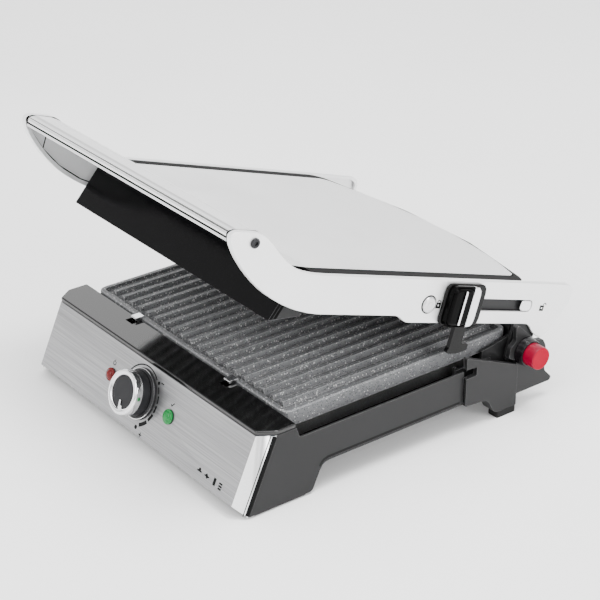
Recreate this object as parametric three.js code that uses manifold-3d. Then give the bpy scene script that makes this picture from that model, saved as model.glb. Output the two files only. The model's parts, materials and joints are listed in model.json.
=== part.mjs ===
// Panini press (contact grill) with a long lid on two side arms.
// Millimetres, +Z up. x runs across the appliance, y runs rearwards from the top edge of the
// control panel, z is height above the table. The whole assembly is centred at the end.
import * as THREE from 'three';
import Module from 'manifold-3d';
import { mergeVertices } from 'three/addons/utils/BufferGeometryUtils.js';

const wasm = await Module();
wasm.setup();

// ---------------------------------------------------------------- driving dimensions
const HALF_WIDTH = 167.5;         // half width of the base
const PANEL_HALF = 157.4;         // half width of the flat part of the control panel
const CORNER_DEPTH = 14.3;        // how far back the chamfered front corners run
const PANEL_TOP = 72;             // height of the panel's top edge
const PANEL_RUN = 31;             // how far the panel's foot stands forward of its top edge
const PANEL_DROP = 70;            // height over which it does so
const LEDGE_TOP = 76.6;           // glossy ledge between panel and lower plate
const LEDGE_BACK = 35.3;
const PANEL_FOOT = 12.4;          // lower edge of the panel's flat part
const WALL_TOP = 61.6;            // top of the base's side walls
const WALL = 1.8;
const BELLY = 27.5;               // underside of the base between the feet
const BRACKET_FRONT = 226;        // rear brackets carry the rear feet
const BRACKET_OUT = 171;

const PLATE_HALF = 150;           // grill plates
const PLATE_DEPTH = 249;          // upper plate
const LOWER_DEPTH = 257.6;        // the lower plate reaches farther back, under the hinge
const PLATE_FRONT = 36.6;
const RIM_TOP = 78;
const RIDGE_TOP = 79;
const RIDGE_PITCH = 14;
const RIDGES = 20;
const PLATE_GAP = 4.8;            // between the ridge tips with the lid down

const HINGE_Y = 301;              // lid hinge axis
const HINGE_Z = 59.5;
const PIN_R = 5.5;
const OPENING = THREE.MathUtils.degToRad(18.3);   // how far the lid stands open at rest

const ARM_IN = 156.5;             // side arms, inner and outer face
const ARM_OUT = 162.5;
const ARM_SKIN = 159.6;           // the arm is a pressed shell, hollow towards the plates
const RIVET_Y = 165;              // pivot of the upper heating head
const RIVET_Z = 100.3;
const SLOT_Z = 101;
const SHEET_TOP = 123.2;
const SHEET_HALF = 142.2;
const HANDLE_HALF = 155;

const KNOB_X = -3.5;              // centre of the thermostat knob on the panel
const KNOB_DOWN = 30;             // measured down the slope from the panel's top edge
const LAMP_STEP = 47.5;
const BUTTON_END = 189.5;         // outer face of the release button and of the left hinge cap

const CENTRE_Y = 162.82;          // middle of the appliance from front to back

const BLACK = 0x1b1b1d;
const GLOSS = 0x0c0c0d;
const STEEL = 0xb9bbbd;
const SILVER = 0xd4d5d6;
const CHROME = 0xe4e6e8;
const STONE = 0x6d6f71;
const RUBBER = 0x141414;
const ALUMINIUM = 0xc3c5c6;

// ---------------------------------------------------------------- shape helpers
// An outline from corner points [a, b, radius]; a radius rounds that corner, up to the middle
// of the shorter edge beside it.
function outline(points) {
  const shape = new THREE.Shape();
  const count = points.length;
  points.forEach((point, i) => {
    const here = new THREE.Vector2(point[0], point[1]);
    const before = new THREE.Vector2(...points[(i + count - 1) % count].slice(0, 2));
    const after = new THREE.Vector2(...points[(i + 1) % count].slice(0, 2));
    const room = 0.49 * Math.min(here.distanceTo(before), here.distanceTo(after));
    const radius = Math.min(point[2] || 0, room);
    const start = here.clone().add(before.sub(here).setLength(radius));
    const end = here.clone().add(after.sub(here).setLength(radius));
    if (i === 0) shape.moveTo(start.x, start.y);
    else shape.lineTo(start.x, start.y);
    if (radius > 0) shape.quadraticCurveTo(here.x, here.y, end.x, end.y);
  });
  shape.closePath();
  return shape;
}

function rectangle(a0, a1, b0, b1, radius = 0) {
  return outline([[a0, b0, radius], [a1, b0, radius], [a1, b1, radius], [a0, b1, radius]]);
}

function extruded(shape, length, across, up, along, origin, bevel = 0) {
  const geometry = new THREE.ExtrudeGeometry(shape, {
    depth: length - 2 * bevel,
    curveSegments: 3,
    bevelEnabled: bevel > 0,
    bevelThickness: bevel,
    bevelSize: bevel,
    bevelOffset: -bevel,
    bevelSegments: 1,
  });
  geometry.translate(0, 0, bevel);
  geometry.applyMatrix4(new THREE.Matrix4().makeBasis(across, up, along));
  geometry.translate(origin.x, origin.y, origin.z);
  return geometry;
}

const X = new THREE.Vector3(1, 0, 0);
const Y = new THREE.Vector3(0, 1, 0);
const Z = new THREE.Vector3(0, 0, 1);
const BACKWARDS = new THREE.Vector3(0, -1, 0);

// Side profile (y, z) carried across from x0 to x1.
function across(shape, x0, x1, bevel = 0) {
  return extruded(shape, x1 - x0, Y, Z, X, new THREE.Vector3(x0, 0, 0), bevel);
}

// Plan outline (x, y) carried up from z0 to z1.
function upward(shape, z0, z1, bevel = 0) {
  return extruded(shape, z1 - z0, X, Y, Z, new THREE.Vector3(0, 0, z0), bevel);
}

// Front view outline (x, z) carried back from y0 to y1.
function rearward(shape, y0, y1, bevel = 0) {
  return extruded(shape, y1 - y0, X, Z, BACKWARDS, new THREE.Vector3(0, y1, 0), bevel);
}

function box(x0, x1, y0, y1, z0, z1) {
  const geometry = new THREE.BoxGeometry(x1 - x0, y1 - y0, z1 - z0);
  geometry.translate((x0 + x1) / 2, (y0 + y1) / 2, (z0 + z1) / 2);
  return geometry;
}

// Round bar along z, turned and moved by the caller.
function bar(radius, z0, z1, sides = 28) {
  const geometry = new THREE.CylinderGeometry(radius, radius, z1 - z0, sides);
  geometry.rotateX(Math.PI / 2);
  geometry.translate(0, 0, (z0 + z1) / 2);
  return geometry;
}

function barAcross(radius, x0, x1, y, z, sides = 28) {
  const geometry = bar(radius, x0, x1, sides);
  geometry.rotateY(Math.PI / 2);
  geometry.translate(0, y, z);
  return geometry;
}

// Turned part along z from (radius, height) corner points.
function turned(points, sides = 28) {
  const profile = points.map(([r, h]) => new THREE.Vector2(r, h));
  profile.push(profile[0].clone());
  const geometry = new THREE.LatheGeometry(profile, sides);
  geometry.rotateX(Math.PI / 2);
  return geometry;
}

function solid(geometry) {
  const bare = geometry.clone();
  bare.deleteAttribute('normal');
  bare.deleteAttribute('uv');
  const merged = mergeVertices(bare, 1e-4);
  return new wasm.Manifold(new wasm.Mesh({
    numProp: 3,
    vertProperties: new Float32Array(merged.attributes.position.array),
    triVerts: new Uint32Array(merged.index.array),
  }));
}

function joined(first, ...others) {
  return others.reduce((sum, next) => sum.add(solid(next)), solid(first));
}

function without(body, ...cutters) {
  return cutters.reduce((rest, cutter) => rest.subtract(solid(cutter)), body);
}

function geometryOf(body) {
  if (body.isBufferGeometry) return body;
  const mesh = body.getMesh();
  const geometry = new THREE.BufferGeometry();
  geometry.setAttribute('position', new THREE.BufferAttribute(new Float32Array(mesh.vertProperties), 3));
  geometry.setIndex(new THREE.BufferAttribute(new Uint32Array(mesh.triVerts), 1));
  const flat = geometry.toNonIndexed();
  flat.computeVertexNormals();
  return flat;
}

function add(parent, name, body, color, roughness = 0.5, metalness = 0) {
  const material = new THREE.MeshStandardMaterial({ color, roughness, metalness });
  const mesh = new THREE.Mesh(geometryOf(body), material);
  mesh.name = name;
  parent.add(mesh);
  return mesh;
}

function mirrored(body) {
  return body.mirror([1, 0, 0]);
}

// ---------------------------------------------------------------- assembly groups
const press = new THREE.Group();
press.position.y = -CENTRE_Y;

const panel = new THREE.Group();                 // sits on the leaning control panel
const lean = Math.atan2(PANEL_DROP, PANEL_RUN);
panel.position.z = PANEL_TOP;
panel.rotation.x = lean;
press.add(panel);

const hinge = new THREE.Group();                 // turns the lid; its parts are drawn lid down
hinge.position.set(0, HINGE_Y, HINGE_Z);
hinge.rotation.x = -OPENING;
press.add(hinge);
const lid = new THREE.Group();
lid.position.set(0, -HINGE_Y, -HINGE_Z);
hinge.add(lid);

function onPanel(geometry, x, down) {
  geometry.translate(x, -down, 0);
  geometry.applyMatrix4(new THREE.Matrix4().makeRotationX(lean));
  geometry.translate(0, 0, PANEL_TOP);
  return geometry;
}

// Lets a plan outline follow the panel's lean.
function leaning(geometry) {
  const shear = new THREE.Matrix4().makeShear(0, 0, 0, 0, 0, PANEL_RUN / PANEL_DROP);
  geometry.translate(0, 0, -PANEL_TOP);
  geometry.applyMatrix4(shear);
  geometry.translate(0, 0, PANEL_TOP);
  return geometry;
}

// ---------------------------------------------------------------- base housing
const footFront = -40;
const sideWall = outline([
  [footFront, 2.2], [52.4, 2.2, 3], [64, BELLY, 7], [BRACKET_FRONT - 0.4, BELLY],
  [BRACKET_FRONT - 0.4, WALL_TOP], [39, WALL_TOP, 2], [LEDGE_BACK, 72], [footFront, 72],
]);
const trunk = outline([
  [footFront, 13], [57, 13, 4], [70, BELLY, 5], [268, BELLY], [268, 58], [BRACKET_FRONT - 0.4, 58],
  [BRACKET_FRONT - 0.4, WALL_TOP], [39, WALL_TOP, 2], [LEDGE_BACK, 72], [footFront, 72],
]);
const housingPlan = outline([
  [-HALF_WIDTH, 400], [-HALF_WIDTH, CORNER_DEPTH + 1.8], [-PANEL_HALF + 0.4, 1.7],
  [PANEL_HALF - 0.4, 1.7], [HALF_WIDTH, CORNER_DEPTH + 1.8], [HALF_WIDTH, 400],
]);
let housing = joined(
  across(trunk, -156.5, 156.5),
  across(sideWall, 156, HALF_WIDTH),
  across(sideWall, -HALF_WIDTH, -156),
);
housing = housing.intersect(solid(leaning(upward(housingPlan, -10, 90))));
const frontRoom = outline([
  [-154, 58], [-154, 16], [-150, 5], [150, 5], [154, 16], [154, 58],
]);
const plateRoom = outline([
  [-HALF_WIDTH + WALL, 30], [HALF_WIDTH - WALL, 30], [HALF_WIDTH - WALL, BRACKET_FRONT - 2.4],
  [154.5, BRACKET_FRONT - 2.4], [154.5, 266], [-154.5, 266], [-154.5, BRACKET_FRONT - 2.4],
  [-HALF_WIDTH + WALL, BRACKET_FRONT - 2.4],
]);
housing = without(
  housing,
  leaning(upward(frontRoom, 15, 90)),
  upward(plateRoom, 30, 90),
  box(-150, 150, 92, 262, 20, 40),
  box(157, HALF_WIDTH - WALL, 215, 227, 50, 80),
  box(-HALF_WIDTH + WALL, -157, 215, 227, 50, 80),
  onPanel(bar(6.5, -20, 5), KNOB_X, KNOB_DOWN),
  onPanel(bar(5.2, -20, 5), KNOB_X - LAMP_STEP, KNOB_DOWN + 1),
  onPanel(bar(5.2, -20, 5), KNOB_X + LAMP_STEP, KNOB_DOWN + 2),
);
const footLine = outline([
  [-169.6, -5], [-169.6, 0.2], [-PANEL_HALF, PANEL_FOOT], [PANEL_HALF, PANEL_FOOT], [169.6, 0.2],
  [169.6, -5],
]);
const lipGroove = rectangle(70, BRACKET_FRONT - 4, BELLY + 2.2, BELLY + 3.3);
const glandHole = bar(8.3, -10, 10);
glandHole.rotateX(Math.PI / 2);
glandHole.translate(-96, 267, 44);
add(press, 'base_housing', without(
  housing,
  glandHole,
  rearward(footLine, -60, -14),
  across(lipGroove, HALF_WIDTH - 0.7, HALF_WIDTH + 2),
  across(lipGroove, -HALF_WIDTH - 2, -HALF_WIDTH + 0.7),
), BLACK, 0.45);

const floorPlate = joined(upward(rectangle(-149.7, 149.7, 92.3, 261.7, 3), BELLY, 29.5));
const slots = [];
for (let i = -3; i <= 3; i += 1) {
  slots.push(upward(rectangle(i * 24 - 2, i * 24 + 2, 120, 170), 20, 40));
}
add(press, 'base_floor', without(floorPlate, ...slots), 0x2a2a2b, 0.6);

// ---------------------------------------------------------------- ledge and control panel
const ledgePlan = outline([
  [-HALF_WIDTH, LEDGE_BACK, 2], [-HALF_WIDTH, CORNER_DEPTH, 2], [-PANEL_HALF, 0, 2],
  [PANEL_HALF, 0, 2], [HALF_WIDTH, CORNER_DEPTH, 2], [HALF_WIDTH, LEDGE_BACK, 2],
]);
const ledge = joined(upward(ledgePlan, PANEL_TOP + 0.3, LEDGE_TOP, 0.8));
add(press, 'ledge', without(
  ledge,
  box(-80.4, -69.6, 24, 40, 60, 90),
  box(69.6, 80.4, 24, 40, 60, 90),
), GLOSS, 0.12);

const sheetPlan = outline([
  [-HALF_WIDTH, CORNER_DEPTH], [-PANEL_HALF, 0], [PANEL_HALF, 0], [HALF_WIDTH, CORNER_DEPTH],
  [HALF_WIDTH - 0.2, CORNER_DEPTH + 1.4], [PANEL_HALF - 0.6, 1.3], [-PANEL_HALF + 0.6, 1.3],
  [-HALF_WIDTH + 0.2, CORNER_DEPTH + 1.4],
]);
const panelSheet = joined(leaning(upward(sheetPlan, 2.2, PANEL_TOP)));
add(press, 'control_panel', without(
  panelSheet,
  rearward(footLine, -60, 20),
  onPanel(bar(4, -20, 5), KNOB_X, KNOB_DOWN),
  onPanel(bar(4.8, -20, 5), KNOB_X - LAMP_STEP, KNOB_DOWN + 1),
  onPanel(bar(4.8, -20, 5), KNOB_X + LAMP_STEP, KNOB_DOWN + 2),
), STEEL, 0.3, 0.9);

const dial = new THREE.Group();                  // centre of the thermostat on the panel
dial.position.set(KNOB_X, -KNOB_DOWN, 0);
panel.add(dial);
add(dial, 'dial_collar', turned([[19.6, 0.3], [24, 0.3], [24, 2.2], [22.4, 3.8], [19.6, 3.8]]), BLACK, 0.4);
add(dial, 'thermostat', without(
  joined(box(-17, 17, -13, 13, -28, -6.2), bar(12, -37, -27)),
  bar(3.4, -22, 0),
), 0xd9d3c4, 0.5);
add(dial, 'knob_shaft', bar(3, -20, 15.2), STEEL, 0.3, 1);
add(dial, 'knob_body', turned([
  [3.3, 4.4], [20.6, 4.4], [21, 5.2], [20.2, 12.6], [15.1, 12.6], [15.1, 19.2], [14.6, 19.7],
  [0, 19.7], [0, 15.6], [3.3, 15.6],
]), 0x232325, 0.45);
add(dial, 'knob_ring', turned([
  [15.5, 13], [20.6, 13], [21.2, 13.8], [20.9, 19.6], [19.8, 20.8], [17, 20.8], [15.5, 20],
]), CHROME, 0.12, 1);
const pointer = upward(rectangle(-1.1, 1.1, 7, 14, 0.8), 20, 20.8);
pointer.rotateZ(THREE.MathUtils.degToRad(191));
add(dial, 'knob_pointer', pointer, CHROME, 0.2, 1);

function lamp(name, x, down, reach, color) {
  const body = turned([[0, -14], [4.4, -14], [4.4, 0.4], [reach, 0.4], [reach, 1.4],
    [reach - 1.2, 2.6], [reach * 0.5, 3.6], [0, 4]]);
  const mesh = add(panel, name, body, color, 0.15);
  mesh.position.set(x, -down, 0);
}
lamp('lamp_power', KNOB_X - LAMP_STEP, KNOB_DOWN + 1, 6.3, 0xa01c1c);
lamp('lamp_ready', KNOB_X + LAMP_STEP, KNOB_DOWN + 2, 6.9, 0x1d9a52);

// ---------------------------------------------------------------- grill plates
// Cast plate drawn face up, its outer skirt open below; ridges run front to back.
function castPlate(y0, depth) {
  const y1 = y0 + depth;
  const h = PLATE_HALF;
  const bars = [];
  for (let i = 0; i < RIDGES; i += 1) {
    const x = (i - (RIDGES - 1) / 2) * RIDGE_PITCH;
    bars.push(rearward(outline([
      [x - 3.6, 73.5], [x + 3.6, 73.5], [x + 1.5, RIDGE_TOP], [x - 1.5, RIDGE_TOP],
    ]), y0 + 9, y1 - 9));
  }
  const blank = joined(upward(rectangle(-h, h, y0, y1, 9), 62, RIM_TOP, 0.8));
  const dished = without(
    blank,
    upward(rectangle(-h + 3, h - 3, y0 + 3, y1 - 3, 6), 60, 71),
    upward(rectangle(-h + 4.5, h - 4.5, y0 + 4.5, y1 - 4.5, 5), 74.2, 80),
  );
  return bars.reduce((sum, next) => sum.add(solid(next)), dished);
}

// Bent tube heater, one loop lying flat.
function heater(y0, z) {
  const turns = [
    [-118, y0], [-118, y0 + 172], [-40, y0 + 172], [-40, y0 + 30], [40, y0 + 30],
    [40, y0 + 172], [118, y0 + 172], [118, y0],
  ];
  const path = new THREE.CurvePath();
  const reach = 24;
  let from = new THREE.Vector3(turns[0][0], turns[0][1], z);
  for (let i = 1; i < turns.length - 1; i += 1) {
    const corner = new THREE.Vector3(turns[i][0], turns[i][1], z);
    const back = new THREE.Vector3(turns[i - 1][0], turns[i - 1][1], z);
    const ahead = new THREE.Vector3(turns[i + 1][0], turns[i + 1][1], z);
    const start = corner.clone().add(back.sub(corner).setLength(reach));
    const end = corner.clone().add(ahead.sub(corner).setLength(reach));
    path.add(new THREE.LineCurve3(from, start));
    path.add(new THREE.QuadraticBezierCurve3(start, corner, end));
    from = end;
  }
  path.add(new THREE.LineCurve3(from, new THREE.Vector3(118, y0, z)));
  const round = new THREE.Shape();
  round.absarc(0, 0, 3.2, 0, Math.PI * 2);
  return new THREE.ExtrudeGeometry(round, { steps: 54, curveSegments: 4, extrudePath: path });
}

function tray(y0, y1, z0, z1) {
  return without(
    joined(upward(rectangle(-146, 146, y0, y1, 6), z0, z1)),
    upward(rectangle(-144.8, 144.8, y0 + 1.2, y1 - 1.2, 5), z0 + 1.2, z1 + 5),
  );
}

add(press, 'lower_plate', castPlate(PLATE_FRONT, LOWER_DEPTH), STONE, 0.55, 0.1);
add(press, 'lower_heater', heater(60, 66.2), 0x3a3a3c, 0.5, 0.6);
add(press, 'lower_reflector', tray(42, 258, 48, 60), ALUMINIUM, 0.3, 1);

function plateClip(name, x) {
  const hook = outline([
    [28.6, 72.8], [31, 72.8], [31, 78.4], [38.8, 78.4], [38.8, 80.1, 1.2], [28.6, 80.1, 1],
  ]);
  add(press, name, across(hook, x - 4.2, x + 4.2), CHROME, 0.2, 1);
}
plateClip('plate_clip_left', -75);
plateClip('plate_clip_right', 75);

// ---------------------------------------------------------------- rear brackets and hinge towers
const bracketSide = outline([
  [BRACKET_FRONT, 26.8, 1], [BRACKET_FRONT, 76.6, 1.5], [290, 49.2, 1.5], [290, 7.1],
  [266.5, 7.1], [262, 9, 3], [254, 24, 6], [244, 25.4, 4],
]);
const bracket = without(
  joined(across(bracketSide, 157, BRACKET_OUT)),
  box(150, 165.9, 220, 300, 44.4, 90),
  box(166.8, 168.6, 220, 229, 29, 74),
  across(outline([[220, 55], [238.5, 55.4, 0.8], [238.5, 64, 0.8], [220, 65]]), 165, 175),
);
add(press, 'bracket_right', bracket, BLACK, 0.45);
add(press, 'bracket_left', mirrored(bracket), BLACK, 0.45);

const towerOuter = outline([
  [290.5, 16.4], [336, 16.4, 2.5], [337.5, 20, 2], [328, 29.5, 3], [328, 56, 3],
  [323.5, 64.4, 3], [315.5, 65.2, 2], [307.5, 72.4, 3], [291.5, 88, 2], [288.5, 86, 1],
  [289.5, 72.5, 2], [282.5, 67, 2], [281, 57.5], [290.5, 52],
]);
const towerInner = outline([
  [269, 30], [299, 30], [299, 42], [318, 47, 8], [320, 68, 8], [300, 78, 8], [288, 72, 6], [258, 67],
  [258, 58.6], [269, 58.6],
]);
const tower = without(
  joined(
    across(towerOuter, 163.2, 168),
    across(towerInner, 152.6, 155.9),
    box(152.6, 165, 290.6, 299, 30, 42),
    box(163.2, 168, 290.6, 299, 17, 44),
  ),
  barAcross(PIN_R + 0.15, 140, 180, HINGE_Y, HINGE_Z),
);
add(press, 'tower_right', tower, BLACK, 0.45);
add(press, 'tower_left', mirrored(tower), BLACK, 0.45);
const pin = solid(barAcross(PIN_R, 151, 167.6, HINGE_Y, HINGE_Z));
add(press, 'hinge_pin_right', pin, STEEL, 0.3, 1);
add(press, 'hinge_pin_left', mirrored(pin), STEEL, 0.3, 1);

const coverSide = outline([
  [266, 58.3], [266, 59.8], [295.4, 59.8], [295.4, 78, 2], [304, 82.5, 6], [318, 76, 10],
  [322.5, 58, 6], [320, 44], [295.4, 44], [295.4, 58.3],
]);
const coverHollow = outline([
  [297.2, 30], [297.2, 77, 1.5], [304, 80.6, 5], [316.4, 74.8, 9], [320.6, 58, 5], [317.6, 30],
]);
add(press, 'rear_cover', without(
  joined(across(coverSide, -150.6, 150.6)),
  across(coverHollow, -148.8, 148.8),
), BLACK, 0.45);

function onHinge(mesh, side) {
  mesh.rotation.y = side * Math.PI / 2;
  mesh.position.set(0, HINGE_Y, HINGE_Z);
}
onHinge(add(press, 'button_collar', turned([
  [11.3, 168.3], [14, 168.3], [13.2, 172], [12.6, 177], [11.3, 177],
]), 0x101010, 0.35), 1);
onHinge(add(press, 'release_button', turned([
  [0, 185], [8.6, 185], [8.6, 172.6], [11, 172.6], [11, BUTTON_END - 1.2],
  [10, BUTTON_END], [0, BUTTON_END],
]), 0xd3162c, 0.35), 1);
onHinge(add(press, 'hinge_cap_left', turned([
  [0, 168.3], [13.4, 168.3], [12.4, 176], [11, 177], [11, BUTTON_END - 1.2],
  [10, BUTTON_END], [0, BUTTON_END],
]), BLACK, 0.4), -1);

// ---------------------------------------------------------------- feet, cord gland, wiring
const frontPad = upward(rectangle(157.6, 165.8, -10, 48, 3), 0, 1.9);
const rearPad = upward(rectangle(158, BRACKET_OUT, 266.8, 290, 2), 0, 6.8);
add(press, 'foot_pad_front_right', frontPad, RUBBER, 0.9);
add(press, 'foot_pad_front_left', mirrored(solid(frontPad)), RUBBER, 0.9);
add(press, 'foot_pad_rear_right', rearPad, RUBBER, 0.9);
add(press, 'foot_pad_rear_left', mirrored(solid(rearPad)), RUBBER, 0.9);

const gland = turned([
  [3.4, -6], [10, -6], [10, -3.2], [8, -3.2], [8, 1.4], [10.5, 1.4], [9.5, 4], [6.2, 14], [3.4, 14],
], 28);
const glandMesh = add(press, 'cord_gland', gland, RUBBER, 0.8);
glandMesh.rotation.x = -Math.PI / 2;
glandMesh.position.set(-96, 267, 44);
add(press, 'terminal_block', box(-110, -78, 238, 252, 33, 45), 0xe6e1d4, 0.6);

// ---------------------------------------------------------------- lid: side arms
// Side view of an arm with the lid down.
const armSide = outline([
  [-72, 146.5, 4], [-74, 154, 4], [-68, 157.4, 4], [-41, 157, 8], [-29, 149, 8], [-14, 137, 14],
  [4, 127, 14], [26, 123.7, 12], [342, 123.7, 4], [349.5, 119, 4], [349, 106, 4], [330, 74, 3],
  [323, 69.6, 3], [311, 73.6, 6], [301.5, 83.2, 5], [142, 82.6, 5], [133, 88.8, 6], [30, 88.8, 14],
  [2, 94.5, 14], [-26, 106, 16], [-48, 121, 12], [-64, 136, 8],
]);
const armHollow = outline([
  [-68, 146, 4], [-69, 152, 3], [-44, 153, 8], [-31, 145, 8], [-15, 133, 14], [4, 123.4, 12],
  [26, 120.6, 10], [340, 120.6, 5], [345.5, 116, 4], [345, 107, 4], [329, 80, 4],
  [298, 87.4, 5], [143, 86.2, 5], [134, 92.4, 6], [30, 92.4, 14], [3, 98, 14], [-24, 109.4, 16],
  [-46, 124.4, 12], [-61, 139, 8],
]);
const armBlank = joined(across(armSide, ARM_IN, ARM_OUT, 0.8));
const arm = without(
  armBlank,
  across(armHollow, ARM_IN - 5, ARM_SKIN),
  box(ARM_IN - 5, ARM_SKIN, 284, 319, 60, 92),
  barAcross(4.2, 150, 170, RIVET_Y, RIVET_Z),
);
const slot = across(rectangle(193, 299, SLOT_Z - 5.8, SLOT_Z + 5.8, 5.5), 150, 170);
add(lid, 'arm_right', without(arm, slot), SILVER, 0.35, 0.6);
add(lid, 'arm_left', mirrored(arm), SILVER, 0.35, 0.6);

const knuckleSide = outline([
  [262, 108, 4], [262, 92, 4], [285, 90.5, 2], [286.6, 59.5], [286.6, 45.1, 14], [301, 45.1],
  [315.4, 45.1, 14], [315.4, 60], [317, 86, 4], [324, 100, 4], [324, 108, 4],
]);
const knuckle = without(
  joined(
    across(knuckleSide, ARM_IN + 0.2, ARM_SKIN - 0.3),
    across(rectangle(188, 270, 92.4, 112), ARM_IN + 0.2, 157.7),
  ),
  barAcross(PIN_R + 0.15, 140, 180, HINGE_Y, HINGE_Z),
  box(157.7, 165, 255, 301, 93.5, 115),
);
add(lid, 'knuckle_right', knuckle, 0x303033, 0.4, 0.6);
add(lid, 'knuckle_left', mirrored(knuckle), 0x303033, 0.4, 0.6);

function onArm(name, side, points, y, z, color, metalness) {
  const mesh = add(lid, name, turned(points, 28), color, 0.35, metalness);
  mesh.rotation.y = side * Math.PI / 2;
  mesh.position.set(0, y, z);
}
for (const [word, side] of [['right', 1], ['left', -1]]) {
  onArm(`arm_screw_${word}`, side, [[0, 162.8], [4.4, 162.8], [4.4, 163.8], [3.8, 164.3],
    [2, 164.3], [2, 163.2], [0, 163.2]], -48, 148.6, 0x1c1c1c, 0.6);
  onArm(`head_rivet_${word}`, side, [[0, 152.4], [4, 152.4], [4, 162.8], [7.6, 162.8],
    [7.6, 163.6], [6.6, 164.8], [0, 165]], RIVET_Y, RIVET_Z, CHROME, 1);
}

// ---------------------------------------------------------------- lid: handle and cover sheet
const sheetSide = outline([
  [-71.2, 150, 0], [-72.6, 154, 3], [-67, 157, 5], [-41, 156.6, 8], [-29, 148.4, 8], [-14, 136.4, 14],
  [4, 126.4, 14], [26, SHEET_TOP, 12], [330, SHEET_TOP], [330, SHEET_TOP - 1.2],
  [26, SHEET_TOP - 1.2, 12], [3.4, 125.2, 14], [-14.8, 135.2, 14], [-29.8, 147.2, 8],
  [-41.6, 155.4, 8], [-66.4, 155.7, 4], [-71.1, 153.2, 2], [-70, 150, 0],
]);
// Plan of the cover sheet, or of the frame round it when grown.
function coverPlan(grow) {
  const half = SHEET_HALF + grow;
  const shape = new THREE.Shape();
  shape.moveTo(-HANDLE_HALF, -90);
  shape.lineTo(HANDLE_HALF, -90);
  shape.lineTo(HANDLE_HALF, -38);
  shape.bezierCurveTo(HANDLE_HALF, -12, half, 0, half, 26);
  shape.lineTo(half, 279);
  shape.quadraticCurveTo(half, 287 + grow, half - 8, 289.5 + grow);
  shape.quadraticCurveTo(0, 347.5 + grow, -half + 8, 289.5 + grow);
  shape.quadraticCurveTo(-half, 287 + grow, -half, 279);
  shape.lineTo(-half, 26);
  shape.bezierCurveTo(-half, 0, -HANDLE_HALF, -12, -HANDLE_HALF, -38);
  shape.closePath();
  return shape;
}

function coverPrism(grow) {
  const prism = new THREE.ExtrudeGeometry(coverPlan(grow), { depth: 120, bevelEnabled: false, curveSegments: 14 });
  prism.translate(0, 0, 90);
  return prism;
}
const sheet = joined(across(sheetSide, -HANDLE_HALF, HANDLE_HALF)).intersect(solid(coverPrism(0)));
add(lid, 'lid_sheet', sheet, SILVER, 0.3, 0.8);

const carrierOutline = new THREE.Shape();
carrierOutline.moveTo(-155.8, 29);
carrierOutline.lineTo(155.8, 29);
carrierOutline.lineTo(155.8, 274);
carrierOutline.quadraticCurveTo(155.8, 288, 144, 292);
carrierOutline.quadraticCurveTo(0, 354, -144, 292);
carrierOutline.quadraticCurveTo(-155.8, 288, -155.8, 274);
carrierOutline.closePath();
const carrier = without(
  joined(upward(carrierOutline, 114, 122.9)),
  coverPrism(0.5).translate(0, 0, 31.6),
  upward(rectangle(-140, 140, 40, 272, 10), 100, 118.6),
);
add(lid, 'lid_carrier', carrier, GLOSS, 0.25);

const gripSide = outline([
  [-69.4, 150], [-65.8, 155.3, 1], [-42, 155, 6], [-30, 146.8, 4], [-34, 143.6, 3], [-46, 148, 6],
  [-62, 149.4, 3],
]);
add(lid, 'handle_grip', across(gripSide, -HANDLE_HALF + 0.4, HANDLE_HALF - 0.4), BLACK, 0.6);
add(lid, 'handle_trim', across(rectangle(-71.4, -66, 146.4, 149.6, 1), -HANDLE_HALF + 0.4,
  HANDLE_HALF - 0.4), CHROME, 0.15, 1);

// ---------------------------------------------------------------- lid: lock slider on the right arm
const slider = new THREE.Group();
lid.add(slider);
const legSide = outline([
  [203, 81.8], [203, 60, 1], [201, 57, 1], [203, 55, 1], [214, 55, 1.5], [226, 59, 1], [226, 64.5, 1],
  [217, 64.5, 2], [217, 81.8],
]);
add(slider, 'lock_slider', joined(
  across(rectangle(179.5, 229.2, 81.6, 121.6, 8), ARM_OUT + 0.3, 166.4, 0.8),
  across(legSide, 161, 165.3),
  across(rectangle(203, 217, 78, 90, 0.5), ARM_OUT + 0.3, 165.3),
  across(rectangle(199, 213, SLOT_Z - 5.2, SLOT_Z + 5.2, 4), ARM_SKIN - 0.3, 164),
  across(rectangle(196, 216, SLOT_Z - 7, SLOT_Z + 9, 2), 158, 159.3),
), 0x151516, 0.35);
add(slider, 'lock_grip', across(rectangle(183.2, 208.2, 83.8, 119.2, 6.5), 166.7, 173.5, 2), 0x0d0d0e, 0.15);
add(slider, 'lock_grip_ridge', across(rectangle(194.6, 196.8, 85.5, 117.5, 1), 173.8, 175.4, 0.3), CHROME, 0.2, 1);
add(slider, 'lock_trim', without(
  solid(across(rectangle(181.6, 218, 82.4, 120.8, 8), 166.7, 171.4, 0.8)),
  across(rectangle(182.9, 208.5, 83.5, 119.5, 6.8), 160, 180),
), CHROME, 0.12, 1);
add(lid, 'slot_end_trim', across(rectangle(284, 298.4, SLOT_Z - 5.2, SLOT_Z + 5.2, 4.6), 159.9, 162.3), CHROME, 0.2, 1);

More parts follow.
